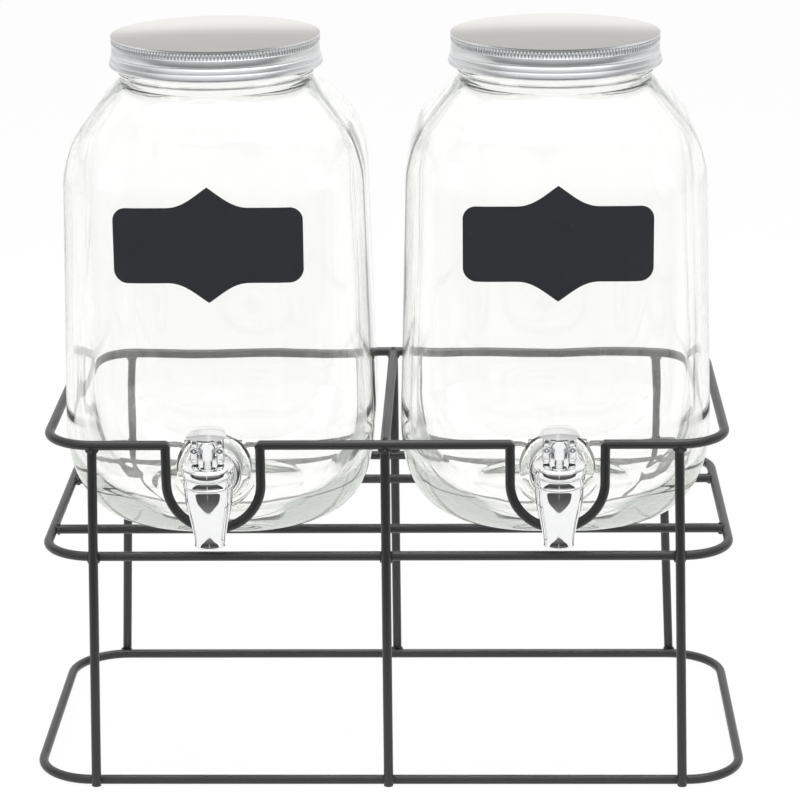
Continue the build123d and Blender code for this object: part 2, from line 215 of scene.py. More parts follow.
def nutPlastic():
    material, plastic = newFinish("nutPlastic")
    grain = plastic.spots(0.0012, 2)
    shade = plastic.between((0.72, 0.72, 0.71), (0.80, 0.80, 0.79), grain)
    plastic.close(plastic.surface(Base_Color=shade, Roughness=0.38 + 0.1 * grain,
                                  Normal=plastic.bump(grain, 0.00004, 0.4)))
    return material


def linerFoam():
    material, foam = newFinish("linerFoam")
    cells = foam.spots(0.0008, 3)
    shade = foam.between((0.78, 0.78, 0.76), (0.88, 0.88, 0.86), cells)
    foam.close(foam.surface(Base_Color=shade, Roughness=0.75 + 0.1 * cells,
                            Normal=foam.bump(cells, 0.0001, 0.6)))
    return material


def pinSteel():
    material, steel = newFinish("pinSteel")
    lines = steel.spots(0.0006, 2, 0.5, (0.05, 1, 1))
    shade = steel.between((0.55, 0.55, 0.56), (0.68, 0.68, 0.68), lines)
    steel.close(steel.surface(Base_Color=shade, Metallic=1.0, Roughness=0.25 + 0.15 * lines,
                              Normal=steel.bump(lines, 0.00002, 0.5)))
    return material


finishes = {
    "black_wire": powderCoat(),
    "clear_glass": clearGlass(),
    "chalk_vinyl": chalkVinyl(),
    "lid_metal": brushedLid(),
    "liner_foam": linerFoam(),
    "silicone": sealSilicone(),
    "nut_plastic": nutPlastic(),
    "plated_plastic": platedChrome(),
    "pin_steel": pinSteel(),
}
for part in frame["record"]["subparts"]:
    mesh = nodes[part["node"]].data
    mesh.materials.clear()
    mesh.materials.append(finishes[part["material_slot"]])
print("finishes on:", len(finishes))


# meshes
def pieceFrom(name, points, faces, slot, sharp=35):
    mesh = bpy.data.meshes.new(name)
    mesh.from_pydata([Vector(p) * mm for p in points], [], faces)
    return dressed(bpy.data.objects.new(name, mesh), slot, sharp)


def dressed(piece, slot, sharp=35):
    mesh = piece.data
    work = bmesh.new()
    work.from_mesh(mesh)
    bmesh.ops.remove_doubles(work, verts=work.verts, dist=1e-6)
    bmesh.ops.recalc_face_normals(work, faces=work.faces)
    limit = math.radians(sharp)
    for edge in work.edges:
        edge.smooth = len(edge.link_faces) != 2 or edge.calc_face_angle(0) < limit
    for face in work.faces:
        face.smooth = True
    work.to_mesh(mesh)
    work.free()
    mesh.materials.clear()
    mesh.materials.append(finishes[slot])
    if piece.name not in bpy.context.scene.collection.objects:
        bpy.context.scene.collection.objects.link(piece)
    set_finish(piece, slot)
    return piece


def shiftedCopy(piece, name, x):
    mesh = piece.data.copy()
    mesh.name = name
    mesh.transform(Matrix.Translation((x, 0, 0)))
    copy = bpy.data.objects.new(name, mesh)
    bpy.context.scene.collection.objects.link(copy)
    copy["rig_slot"] = piece["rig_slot"]
    return copy


def rowsToSkin(rows):
    # rows of points in rings of the same length; a ring of one point is a pole
    points, faces, starts = [], [], []
    for row in rows:
        starts.append(len(points))
        points += row
    for low, high in zip(range(len(rows)), range(1, len(rows))):
        count = max(len(rows[low]), len(rows[high]))
        for k in range(count):
            n = (k + 1) % count
            a = [starts[low] + (i if len(rows[low]) > 1 else 0) for i in (k, n)]
            b = [starts[high] + (i if len(rows[high]) > 1 else 0) for i in (k, n)]
            if len(rows[low]) == 1:
                faces.append((a[0], b[1], b[0]))
            elif len(rows[high]) == 1:
                faces.append((a[0], a[1], b[0]))
            else:
                faces.append((a[0], a[1], b[1], b[0]))
    return points, faces


def lathe(profile, steps, x=0.0, y=0.0):
    rows = []
    for r, z in profile:
        if r < 1e-6:
            rows.append([(x, y, z)])
        else:
            rows.append([(x + r * math.cos(2 * math.pi * k / steps), y + r * math.sin(2 * math.pi * k / steps), z)
                         for k in range(steps)])
    return rowsToSkin(rows)


def arc(centre, radius, start, end, steps):
    # points of an arc in a profile, angles in degrees
    turns = [math.radians(start + (end - start) * k / steps) for k in range(steps + 1)]
    return [(centre[0] + radius * math.cos(t), centre[1] + radius * math.sin(t)) for t in turns]


def boolean(piece, other, operation):
    cut = piece.modifiers.new("cut", "BOOLEAN")
    cut.operation = operation
    cut.solver = "EXACT"
    cut.object = other
    result = bpy.data.meshes.new_from_object(piece.evaluated_get(bpy.context.evaluated_depsgraph_get()))
    piece.modifiers.clear()
    piece.data = result
    bpy.data.objects.remove(other)


# glass jars
jar = {
    "foot": 129.5, "wide": 82.0, "narrow": 78.4, "footHalf": 50.0, "core": 34.0, "footCore": 4.0,
    "bowl": 55.0, "shoulder": 181.0, "neck": 234.0, "neckFoot": 52.4, "neckR": 50.6, "wall": 4.0, "floor": 10.0,
    "puntR": 43.0, "puntH": 4.5, "beadZ": 239.4, "beadR": 51.7, "beadH": 4.6, "mouthR": 46.4, "rim": 256.7,
    "thread": {"low": 243.0, "pitch": 6.0, "turns": 1.6, "out": 1.3, "half": 1.3},
    "tapZ": 43.3, "padR": 20.5, "padFace": -82.6, "padInner": -75.6, "padRound": 1.6, "holeR": 8.6,
    "columns": 240, "bowlRows": 36, "wallRows": 20, "wallStep": 6, "shoulderRows": 40, "innerRows": 36,
    "unevenness": 0.27, "shoulderStart": 0.03,
}
shoulderShape = ((0, 0), (0.152, 0.012), (0.327, 0.081), (0.52, 0.2245), (0.69, 0.466), (0.84, 0.708),
                 (0.94, 0.903), (1, 1))


def smoothShare(table, at):
    # a curve through the table's points that never overshoots them
    steps = [(b[1] - a[1]) / (b[0] - a[0]) for a, b in zip(table, table[1:])]
    slopes = [jar["shoulderStart"]]
    slopes += [2 * a * b / (a + b) if a * b > 0 else 0 for a, b in zip(steps, steps[1:])] + [steps[-1]]
    for k, (a, b) in enumerate(zip(table, table[1:])):
        if at <= b[0]:
            break
    width = b[0] - a[0]
    t = (at - a[0]) / width
    return ((2 * t**3 - 3 * t**2 + 1) * a[1] + (t**3 - 2 * t**2 + t) * width * slopes[k]
            + (3 * t**2 - 2 * t**3) * b[1] + (t**3 - t**2) * width * slopes[k + 1])


def bowlRow(foot, wide, low, high, turn):
    s = math.sin(math.radians(turn))
    z = low + (high - low) * (1 - math.cos(math.radians(turn)))
    return z, foot + (wide - foot) * s, jar["footCore"] + (jar["core"] - jar["footCore"]) * s


def shoulderRow(narrow, neck, low, high, up):
    half = narrow - (narrow - neck) * smoothShare(shoulderShape, up)
    return low + (high - low) * up, half, max(1.0, jar["core"] * math.sqrt(max(0, 1 - up * up)))


def outlineAt(half, core, turn):
    # distance from the axis to a square with rounded corners
    c, s = abs(math.cos(turn)), abs(math.sin(turn))
    c, s = max(c, s), min(c, s)
    if half * s <= core * c:
        return half / c
    corner = half - core
    along = core * (c + s)
    return along + math.sqrt(max(0, along * along - 2 * core * core + corner * corner))


def outsideHalf(z):
    # half width and flat of the jar's outside at a height above its foot
    if z < jar["bowl"]:
        turn = math.degrees(math.acos(max(-1, 1 - z / jar["bowl"])))
        return bowlRow(jar["footHalf"], jar["wide"], 0, jar["bowl"], turn)[1:]
    if z <= jar["shoulder"]:
        share = (z - jar["bowl"]) / (jar["shoulder"] - jar["bowl"])
        return jar["wide"] + (jar["narrow"] - jar["wide"]) * share, jar["core"]
    up = (z - jar["shoulder"]) / (jar["neck"] - jar["shoulder"])
    return shoulderRow(jar["narrow"], jar["neckFoot"], jar["shoulder"], jar["neck"], min(1, up))[1:]


def threadOut(z, turn):
    screw = jar["thread"]
    best = 0.0
    for lap in range(3):
        share = (turn / (2 * math.pi) + lap) / screw["turns"]
        if share <= 1:
            off = abs(z - screw["low"] - screw["pitch"] * share * screw["turns"]) / screw["half"]
            fade = min(1, 12 * share, 12 * (1 - share))
            if off < 1:
                best = max(best, fade * math.cos(off * math.pi / 2) ** 1.5)
    return screw["out"] * best


def jarRows():
    dome = (jar["puntR"] ** 2 + jar["puntH"] ** 2) / (2 * jar["puntH"])
    outer = [(jar["puntH"] - dome + math.sqrt(dome**2 - r**2), r, 0) for r in (6, 12, 19, 26, 33, 39, 42.2)]
    outer += [(0.02, 43.6, 0.3), (0, 46, 2)]
    turns = [90 * k / jar["bowlRows"] for k in range(jar["bowlRows"] + 1)]
    climbs = [jar["wallStep"] * k for k in range(1, jar["wallRows"] + 1)]
    outer += [bowlRow(jar["footHalf"], jar["wide"], 0, jar["bowl"], turn) for turn in turns]
    outer += [(z, *outsideHalf(z)) for z in [jar["bowl"] + up for up in climbs]]
    outer += [shoulderRow(jar["narrow"], jar["neckFoot"], jar["shoulder"], jar["neck"], k / jar["shoulderRows"])
              for k in range(jar["shoulderRows"] + 1)]
    low = jar["beadZ"] - jar["beadH"] / 2
    outer += [(jar["neck"] + 0.9, 51.15, 0.4), (jar["neck"] + 1.9, 50.75, 0), (low - 0.9, jar["neckR"], 0)]
    rise = jar["beadR"] - jar["neckR"]
    outer += [(low + jar["beadH"] * k / 12, jar["neckR"] + rise * math.sin(math.pi * k / 12), 0) for k in range(13)]
    z = low + jar["beadH"] + 0.6
    while z < jar["rim"] - 2.2:
        outer.append((z, jar["neckR"], 0))
        z += 0.42
    lip = arc((jar["neckR"] - 1.5, jar["rim"] - 1.5), 1.5, 0, 90, 6)
    lip += arc((jar["mouthR"] + 1.2, jar["rim"] - 1.2), 1.2, 90, 180, 5)
    outer += [(h, r, 0) for r, h in lip]
    inner = [(jar["rim"] - 1.2 - 2.2 * k, jar["mouthR"], 0) for k in range(1, 13)]
    wall = jar["wall"]
    for k in range(jar["innerRows"] + 1):
        inner.append(shoulderRow(jar["narrow"] - wall, jar["mouthR"] + 0.6, jar["shoulder"],
                                 jar["neck"] - wall / 2, 1 - k / jar["innerRows"]))
    inner += [(z, half - wall, core) for z, half, core in
              [(z, *outsideHalf(z)) for z in [jar["shoulder"] - up for up in climbs]]]
    inner += [bowlRow(jar["footHalf"] - wall, jar["wide"] - wall, jar["floor"], jar["bowl"], 90 - turn)
              for turn in turns]
    inner += [(jar["floor"], r, core) for r, core in ((40, 2), (30, 0), (20, 0), (10, 0))]
    return outer, inner


def jarPoint(z, half, core, turn, inside):
    reach = outlineAt(half, core, turn)
    if inside:
        spot = Vector((math.cos(turn) * reach, math.sin(turn) * reach, z * 0.55)) / 34
        fade = min(1, max(0, (jar["neck"] - z) / 30))
        reach += jar["unevenness"] * fade * noise.noise(spot) * (0.3 if half < jar["footHalf"] else 1)
    elif core == 0 and z > jar["beadZ"]:
        reach += threadOut(z, turn)
    return reach * math.cos(turn), reach * math.sin(turn), z + jar["foot"]


def padCutters():
    z = jar["tapZ"] + jar["foot"]
    face, seat, r, edge = jar["padFace"], jar["padInner"], jar["padR"], jar["padRound"]
    rise = [(k / 10, 0.5 - 0.5 * math.cos(math.pi * k / 10)) for k in range(11)]
    pad = [(0, face)] + [(r - 5 + (5 + edge) * u, face + 2.6 * v) for u, v in rise]
    pad += [(r - 2, seat - 0.4), (0, seat - 0.4)]
    cut = [(0, face - 3), (jar["holeR"], face - 3), (jar["holeR"], seat), (r - 2.4, seat), (r - 2.4, seat + 24),
           (0, seat + 24)]
    made = []
    for name, profile in (("pad", pad), ("cut", cut)):
        points, faces = lathe(profile, 72)
        made.append(pieceFrom(name, [(px, pz, z + py) for px, py, pz in points], faces, "clear_glass"))
    return made


def glassJar():
    outer, inner = jarRows()
    turns = [2 * math.pi * k / jar["columns"] for k in range(jar["columns"])]
    rows = [[(0, 0, jar["foot"] + jar["puntH"])]]
    for inside, listed in ((False, outer), (True, inner)):
        rows += [[jarPoint(*row, turn, inside) for turn in turns] for row in listed]
    rows.append([(0, 0, jar["foot"] + jar["floor"])])
    piece = pieceFrom("glassJar", *rowsToSkin(rows), "clear_glass")
    pad, cut = padCutters()
    boolean(piece, pad, "UNION")
    boolean(piece, cut, "DIFFERENCE")
    return dressed(piece, "clear_glass", 40)


jarMaster = glassJar()
for side, x in sides.items():
    piece = shiftedCopy(jarMaster, side + "GlassJar", x)
    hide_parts(side + "_glass_jar")
    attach(piece, side + "_jar")
bpy.data.objects.remove(jarMaster)
print("jars made:", len(piece.data.polygons), "faces each")


# chalk labels
label = {"halfW": 48.5, "halfH": 19.5, "corner": 7.0, "tip": 10.4, "tipHalfW": 21.0, "z": 163.0, "thick": 0.3,
         "columns": 120, "rows": 40}


def labelEdge(x):
    # height of the label's upper edge above its middle
    across = abs(x)
    if across < label["tipHalfW"]:
        t = 1 - across / label["tipHalfW"]
        return label["halfH"] + label["tip"] * (0.5 * t**3 + 1.1 * t**2 - 0.6 * t**4)
    over = across - (label["halfW"] - label["corner"])
    if over > 0:
        return label["halfH"] - label["corner"] + math.sqrt(max(0, label["corner"] ** 2 - over**2))
    return label["halfH"]


def labelPoint(x, z, out):
    half, core = outsideHalf(z)
    corner = half - core
    over = max(0, abs(x) - core)
    return x, -(core + math.sqrt(corner**2 - over**2)) - out, z + jar["foot"]


def chalkLabel():
    across = [-label["halfW"] * math.cos(math.pi * k / label["columns"]) for k in range(label["columns"] + 1)]
    rows = []
    for out in (label["thick"], 0.02):
        for x in across:
            edge = max(0.4, labelEdge(x))
            span = [edge * (2 * k / label["rows"] - 1) for k in range(label["rows"] + 1)]
            rows.append([labelPoint(x, label["z"] + up, out) for up in span])
    points = [p for row in rows for p in row]
    high, count = label["rows"] + 1, len(across)
    faces = []
    for k in range(count - 1):
        for n in range(high - 1):
            a = k * high + n
            faces.append((a, a + high, a + high + 1, a + 1))
            b = a + count * high
            faces.append((b, b + 1, b + high + 1, b + high))
    rim = [k * high for k in range(count)] + [(count - 1) * high + n for n in range(1, high)]
    rim += [k * high + high - 1 for k in range(count - 2, -1, -1)] + [n for n in range(high - 2, 0, -1)]
    for a, b in zip(rim, rim[1:] + rim[:1]):
        faces.append((a, a + count * high, b + count * high, b))
    return pieceFrom("chalkLabel", points, faces, "chalk_vinyl", 50)


labelMaster = chalkLabel()
for side, x in sides.items():
    piece = shiftedCopy(labelMaster, side + "ChalkLabel", x)
    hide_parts(side + "_chalk_label")
    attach(piece, side + "_jar")
bpy.data.objects.remove(labelMaster)
print("labels made")


# screw lids, with the knurl as ribs round the skirt
lid = {"top": 388.2, "r": 55.0, "sheet": 0.05, "crown": 0.9, "rise": 0.2, "edge": 0.12, "steps": 192,
       "ribs": 180, "ribR": 54.15, "ribMid": -3.6, "ribHalfH": 1.75, "ribHalfW": 0.76, "ribOut": 0.72}


def lidProfile():
    top, r = lid["top"], lid["r"]
    edge = r - lid["edge"]
    reach = [k / 12 for k in range(12)] + [0.975, 0.992, 1.0]
    outside = [(k * edge, lid["rise"] - lid["crown"] * k * k) for k in reach]
    drop = lid["rise"] - lid["crown"]
    outside += [(edge, drop - 0.8), (edge - 0.12, drop - 0.95)]
    outside += [(r - 0.95, drop - 1.05), (r - 1.0, drop - 1.2), (r - 1.0, -5.25)]
    outside += [(r - 0.8, -5.45), (r - 0.5, -5.66), (r - 0.46, -6.0), (r - 0.43, -6.5), (r - 0.29, -8.8)]
    outside += [(r - 0.36, -9.1), (r - 0.56, -9.4), (r - 0.62, -9.8), (r - 0.5, -10.2), (r - 0.15, -10.5)]
    outside += [(r + 0.06, -10.8), (r + 0.16, -11.3), (r + 0.34, -12.4), (r + 0.32, -12.75), (r + 0.36, -13.0)]
    outside += [(r + 0.68, -13.3), (r + 0.86, -13.7), (r + 0.95, -14.2), (r + 1.14, -15.5), (r + 1.08, -16.0)]
    outside += [(r + 0.78, -16.42), (r + 0.2, -16.58)]
    low = drop - lid["sheet"]
    inside = [(r - 0.6, -16.5), (r - 1.15, -16.1), (r - 1.2, -15.0), (r - 1.2, low - 0.6), (r - 1.8, low), (0, low)]
    return [(a, top + b) for a, b in outside + inside]


def treeFor(name, inputs):
    tree = bpy.data.node_groups.new(name, "GeometryNodeTree")
    tree.interface.new_socket("Geometry", in_out="OUTPUT", socket_type="NodeSocketGeometry")
    for title, kind in inputs:
        tree.interface.new_socket(title, in_out="INPUT", socket_type=kind)
    grow = Finish(tree)
    start = grow.tree.nodes.new("NodeGroupInput")
    return tree, grow, {s.name: Flow(grow, s) for s in start.outputs if s.name}


def grown(name, tree, base, values):
    # one plain mesh from a tree, with its inputs set by their identifiers
    holder = bpy.data.objects.new(name, base)
    bpy.context.scene.collection.objects.link(holder)
    changer = holder.modifiers.new("grow", "NODES")
    changer.node_group = tree
    for item in tree.interface.items_tree:
        if item.in_out == "INPUT" and item.name in values:
            changer[item.identifier] = values[item.name]
    bpy.context.view_layer.update()
    mesh = bpy.data.meshes.new_from_object(holder.evaluated_get(bpy.context.evaluated_depsgraph_get()))
    holder.modifiers.clear()
    holder.data = mesh
    return holder


def ribTree():
    tree, grow, given = treeFor("lidRibs", [("Count", "NodeSocketInt"), ("Radius", "NodeSocketFloat"),
                                            ("Rib Size", "NodeSocketVector"), ("Place", "NodeSocketVector"),
                                            ("Finish", "NodeSocketMaterial")])
    ring = grow.add("GeometryNodeMeshCircle", None, {"Vertices": given["Count"], "Radius": given["Radius"]})
    rib = grow.add("GeometryNodeMeshUVSphere", None, {"Segments": 8, "Rings": 6, "Radius": 1.0})
    place = grow.add("GeometryNodeInputPosition")
    facing = grow.add("FunctionNodeAlignRotationToVector", {"axis": "X"}, {"Vector": place})
    placed = grow.add("GeometryNodeInstanceOnPoints", None,
                      {"Points": ring, "Instance": rib, "Rotation": facing, "Scale": given["Rib Size"]})
    real = grow.add("GeometryNodeRealizeInstances", None, {"Geometry": placed})
    moved = grow.add("GeometryNodeTransform", None, {"Geometry": real, "Translation": given["Place"]})
    soft = grow.add("GeometryNodeSetShadeSmooth", None, {"Geometry": moved})
    painted = grow.add("GeometryNodeSetMaterial", None, {"Geometry": soft, "Material": given["Finish"]})
    grow.add("NodeGroupOutput", None, {"Geometry": painted})
    return tree


ribs = ribTree()
lidMaster = pieceFrom("lidCap", *lathe(lidProfile(), lid["steps"]), "lid_metal", 50)
for side, x in sides.items():
    piece = shiftedCopy(lidMaster, side + "LidCap", x)
    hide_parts(side + "_lid_cap")
    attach(piece, side + "_lid")
    knurl = grown(side + "LidKnurl", ribs, bpy.data.meshes.new("knurl"), {
        "Count": lid["ribs"], "Radius": lid["ribR"] * mm,
        "Rib Size": (lid["ribOut"] * mm, lid["ribHalfW"] * mm, lid["ribHalfH"] * mm),
        "Place": (x, 0, (lid["top"] + lid["ribMid"]) * mm), "Finish": finishes["lid_metal"]})
    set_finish(knurl, "lid_metal")
    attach(knurl, side + "_lid")
bpy.data.objects.remove(lidMaster)
print("lids made")


# lever taps
tap = {"y": -114.6, "z": 172.8, "pivot": 21.6, "lip": -29.4, "spoutR": 7.85, "outletR": 5.0, "seat": -8.0,
       "barrelR": 12.5, "ringOut": 0.55, "chamberR": 8.6, "barrelTop": 9.4, "bonnetR": 13.7, "bonnetTop": 14.6,
       "flangeFront": -87.1, "flangeBack": -84.6, "flangeR": 14.7, "shankIn": 8, "shankEnd": -64.1, "shankR": 8.2,
       "boreR": 5.2, "neckR": 7.4, "stemHoleR": 2.46, "stemR": 2.4, "cheekIn": 4.4, "cheekOut": 8.6, "cheekBack": 4.3,
       "bossZ": 1.2, "plateHalfW": 10.3, "plateHalfD": 8.2, "plateY": 0.4, "plateEdge": 9.1, "plateArch": 1.8,
       "plateBelly": 2.6, "plateLean": 0.6}


def aboutSpout(profile, steps=96):
    return lathe([(r, tap["z"] + h) for r, h in profile], steps, 0.0, tap["y"])


def aboutShank(profile, steps=96):
    # profile of radius and y, turned about the shank's own line
    points, faces = lathe(profile, steps)
    return [(x, z, tap["z"] + y) for x, y, z in points], faces


def joined(*skins):
    points, faces = [], []
    for some, these in skins:
        faces += [tuple(i + len(points) for i in face) for face in these]
        points += some
    return points, faces


def curveThrough(knots, steps):
    # smooth run through profile points
    run = []
    for k in range(len(knots) - 1):
        a, b = knots[k], knots[k + 1]
        before, after = knots[max(0, k - 1)], knots[min(len(knots) - 1, k + 2)]
        for n in range(steps):
            t = n / steps
            run.append(tuple(0.5 * (2 * b0 + (c - a0) * t + (2 * a0 - 5 * b0 + 4 * c - d) * t**2
                                    + (3 * b0 - a0 - 3 * c + d) * t**3)
                             for a0, b0, c, d in zip(before, a, b, after)))
    return run + [knots[-1]]


def roundRing(r, out, z, half):
    # a raised ring round the barrel, in profile
    turns = [math.pi * k / 8 for k in range(9)]
    return [(r + out * math.sin(t), z - half * math.cos(t)) for t in turns]


def tapBody():
    lip, r, ring = tap["lip"], tap["barrelR"], tap["ringOut"]
    spout = [(tap["outletR"], tap["seat"]), (tap["outletR"], lip + 0.9), (tap["outletR"] + 0.5, lip + 0.15)]
    spout += [(tap["outletR"] + 1.1, lip), (tap["spoutR"] - 0.9, lip), (tap["spoutR"] - 0.2, lip + 0.25)]
    swell = [(8.1, -25.4), (8.7, -21.0), (9.75, -15.6), (10.95, -10.4), (12.05, -4.0)]
    spout += curveThrough([(tap["spoutR"] + 0.3, lip + 1.0), *swell, (r - 0.05, 2.6)], 6)
    spout += roundRing(r, ring, 3.6, 0.75)
    spout += [(r - 0.05, 4.6), (r - 0.05, 7.4)]
    spout += roundRing(r, ring, 8.3, 0.7)
    spout += [(r - 0.3, tap["barrelTop"]), (tap["chamberR"], tap["barrelTop"]), (tap["chamberR"], tap["seat"]),
              (tap["outletR"], tap["seat"])]
    front, back, big = tap["flangeFront"], tap["flangeBack"], tap["flangeR"]
    start = tap["y"] + tap["shankIn"]
    shank = [(tap["boreR"], start), (tap["neckR"], start), (tap["neckR"], front - 3.2)]
    shank += arc((tap["neckR"] + 2.4, front - 3.2), 2.4, 180, 90, 5)
    shank += [(10.6, front - 0.75), (11.0, front - 0.35), (11.4, front - 0.35), (11.9, front - 0.55)]
    shank += [(big - 1.3, front - 0.3), (big - 0.5, front + 0.15), (big - 0.08, front + 0.9), (big, back - 0.5),
              (big - 0.4, back)]
    shank += [(tap["shankR"], back), (tap["shankR"], tap["shankEnd"] - 0.6), (tap["shankR"] - 0.6, tap["shankEnd"]),
              (tap["boreR"], tap["shankEnd"]), (tap["boreR"], start)]
    return pieceFrom("tapBody", *joined(aboutSpout(spout), aboutShank(shank)), "plated_plastic", 40)


def tapBonnet():
    r, low, top = tap["bonnetR"], tap["barrelTop"] + 0.02, tap["bonnetTop"]
    hole = tap["stemHoleR"]
    run = [(hole, low), (r - 0.6, low), (r - 0.15, low + 0.12), (r, low + 0.4), (r, low + 1.8)]
    run.append((r - 0.04, low + 3.1))
    run += curveThrough([(r - 0.08, low + 3.4), (r - 0.45, low + 4.2), (r - 1.5, low + 4.8), (9.6, top - 0.05)], 4)
    run += [(8.4, top), (hole, top), (hole, low)]
    return pieceFrom("tapBonnet", *aboutSpout(run), "plated_plastic", 40)


def stacked(levels, count=32, power=3.0):
    # column of rounded sections: height, middle x, half width, front y and back y
    rows = []
    for z, x, half, front, back in levels:
        ring = []
        for k in range(count):
            turn = 2 * math.pi * k / count
            c, s = math.cos(turn), math.sin(turn)
            px = x + half * math.copysign(abs(c) ** (2 / power), c)
            deep = abs(s) ** (2 / power)
            ring.append((px, deep * (back if s > 0 else front), z))
        rows.append(ring)
    first, last = levels[0], levels[-1]
    rows.insert(0, [(first[1], 0, first[0])])
    rows.append([(last[1], 0, last[0])])
    points, faces = rowsToSkin(rows)
    return [(x, y + tap["y"], z + tap["z"] + tap["pivot"]) for x, y, z in points], faces


def thumbPlate():
    # arched paddle whose front is a lens, deep in the middle and thin at both tips
    wide, deep = tap["plateHalfW"], tap["plateHalfD"]
    rows = []
    for k in range(41):
        x = -wide * math.cos(math.pi * k / 40)
        across = min(1.0, abs(x / wide))
        bulge = 1 - across**2
        top = tap["plateEdge"] + tap["plateArch"] * bulge + 0.12
        low = tap["plateEdge"] - tap["plateBelly"] * bulge - 0.12
        front = across**2 - deep
        back = front + 2 * deep * (1 - across**8)
        if k in (0, 40):
            ring = [(front, tap["plateEdge"])]
        else:
            thick = top - low
            ease = min(1.0, (back - front) / 4)
            lean = tap["plateLean"] * bulge
            middle = (front + back) / 2
            ring = [(back, low + 0.3 * thick), (back, top - 0.25 * thick), (back - 0.3 * ease, top - 0.06 * thick),
                    (back - 0.9 * ease, top), (middle, top), (front, top),
                    (front - 0.35 * lean, top - 0.38 * thick), (front - 0.75 * lean, low + 0.32 * thick),
                    (front - lean, low + 0.08 * thick), (front - lean + 0.3 * ease, low),
                    (front + 2.0 * ease, low + 0.04 * thick), (middle, low + 0.1 * thick),
                    (back - 0.8 * ease, low + 0.16 * thick)]
        rows.append([(x, y + tap["plateY"] + tap["y"], z + tap["z"] + tap["pivot"]) for y, z in ring])
    return rowsToSkin(rows)


def tapLever():
    skins = []
    mid, half = (tap["cheekIn"] + tap["cheekOut"]) / 2, (tap["cheekOut"] - tap["cheekIn"]) / 2
    # cheeks: height, share of the width and depth in front
    lobes = [(-6.55, 0.55, 2.2), (-6.3, 0.85, 3.4), (-5.5, 1.0, 4.0), (-4.7, 1.0, 3.9), (-4.0, 0.97, 3.4),
             (-3.3, 0.96, 3.5), (-2.0, 0.99, 4.2), (-0.6, 1.0, 4.6), (1.6, 1.0, 4.6), (2.8, 0.97, 4.0),
             (4.0, 0.94, 3.5), (6.2, 0.94, 3.5), (7.6, 0.97, 4.1), (8.9, 1.0, 5.0)]
    boss = [(0, -5.75), (0.35, -5.7), (0.6, -5.3), (0.7, -4.85), (1.4, -4.85), (1.5, -5.42), (1.75, -5.55),
            (1.95, -5.4), (2.05, -5.0), (2.05, -3.0), (0, -3.0)]
    bossZ = tap["z"] + tap["pivot"] + tap["bossZ"]
    for way in (-1, 1):
        skins.append(stacked([(z, way * mid, half * wide, -deep, tap["cheekBack"] * min(1, wide + 0.05))
                              for z, wide, deep in lobes]))
        points, faces = lathe(boss, 28)
        skins.append(([(x + way * mid, z + tap["y"], y + bossZ) for x, y, z in points], faces))
    skins.append(thumbPlate())
    return pieceFrom("tapLever", *joined(*skins), "plated_plastic", 50)


def valveStem():
    # arched eye over a round stem that runs down to the plug
    levels = []
    for k in range(15):
        z = -4.2 + 9.4 * k / 14
        wide = 4.0 if z < 1.2 else 4.0 * math.sqrt(max(0.0, 1 - ((z - 1.2) / 4.05) ** 2)) + 0.12
        lean = (z + 4.2) / 9.4
        levels.append((z, 0, wide, -3.9 + 2.3 * lean, 3.3 - 0.6 * lean))
    eye = stacked(levels, 36, 2.4)
    r, low, high = tap["stemR"], -6.0, tap["pivot"] - 3.6
    rod = [(0, low), (r, low), (r, high), (0, high)]
    return pieceFrom("valveStem", *joined(eye, aboutSpout(rod, 40)), "plated_plastic", 45)


for maker, node, body in ((tapBody, "tap_body", "jar"), (tapBonnet, "tap_bonnet", "jar"),
                          (tapLever, "tap_lever", "lever"), (valveStem, "valve_stem", "valve")):
    master = maker()
    for side, x in sides.items():
        piece = shiftedCopy(master, side + master.name[0].upper() + master.name[1:], x)
        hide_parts(side + "_" + node)
        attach(piece, side + "_" + body)
    bpy.data.objects.remove(master)
print("taps made")


# weld beads where the wires of the rack meet
rack = {"rail": (176.5, 87.0, 188.5), "shelf": (180.0, 84.96, 127.0), "base": (188.0, 90.0, 2.5),
        "legTop": 151.5, "frontFoot": 155.5, "rearFoot": 160.0, "footY": 94.5, "barY": 42.0, "footZ": 1.0,
        "bead": 1.25, "unevenness": 0.7, "seed": 7, "corner": 2.1, "off": 2.2, "end": 2.7, "legEnd": 3.2,
        "under": 2.9}


def legAt(top, foot, z):
    share = (rack["rail"][2] - z) / (rack["rail"][2] - rack["footZ"])
    return top + (foot - top) * share, rack["rail"][1] + (rack["footY"] - rack["rail"][1]) * share


def weldPlaces():
    places = []
    corner, off, end = rack["corner"], rack["off"], rack["end"]
    round4 = ((-off, 0), (off, 0), (0, -off), (0, off))
    railY, railZ = rack["rail"][1:]
    shelfX, shelfY, shelfZ = rack["shelf"]
    rings = ((shelfZ, shelfY, (-corner, corner)), (rack["base"][2], rack["base"][1], (corner,)))
    for way, foot in ((-1, rack["frontFoot"]), (1, rack["rearFoot"])):
        for top, low in ((-rack["legTop"], -foot), (0, 0), (rack["legTop"], foot)):
            for ringZ, ringY, ups in rings:
                x, y = legAt(top, low, ringZ)
                for side in (-corner, corner):
                    places += [(x + side, way * (y + ringY) / 2, ringZ + up) for up in ups]
            x, y = legAt(top, low, railZ - rack["legEnd"])
            places += [(x + a, way * y + b, railZ - rack["under"]) for a, b in round4]
    for side in (-1, 1):
        for y in (-rack["barY"], rack["barY"]):
            x = side * (shelfX - end)
            places += [(x, y + a, shelfZ + b) for a, b in round4]
        y = side * (railY - end)
        places += [(a, y, railZ + b) for a, b in ((-off, 0), (off, 0), (0, off))]
    return places


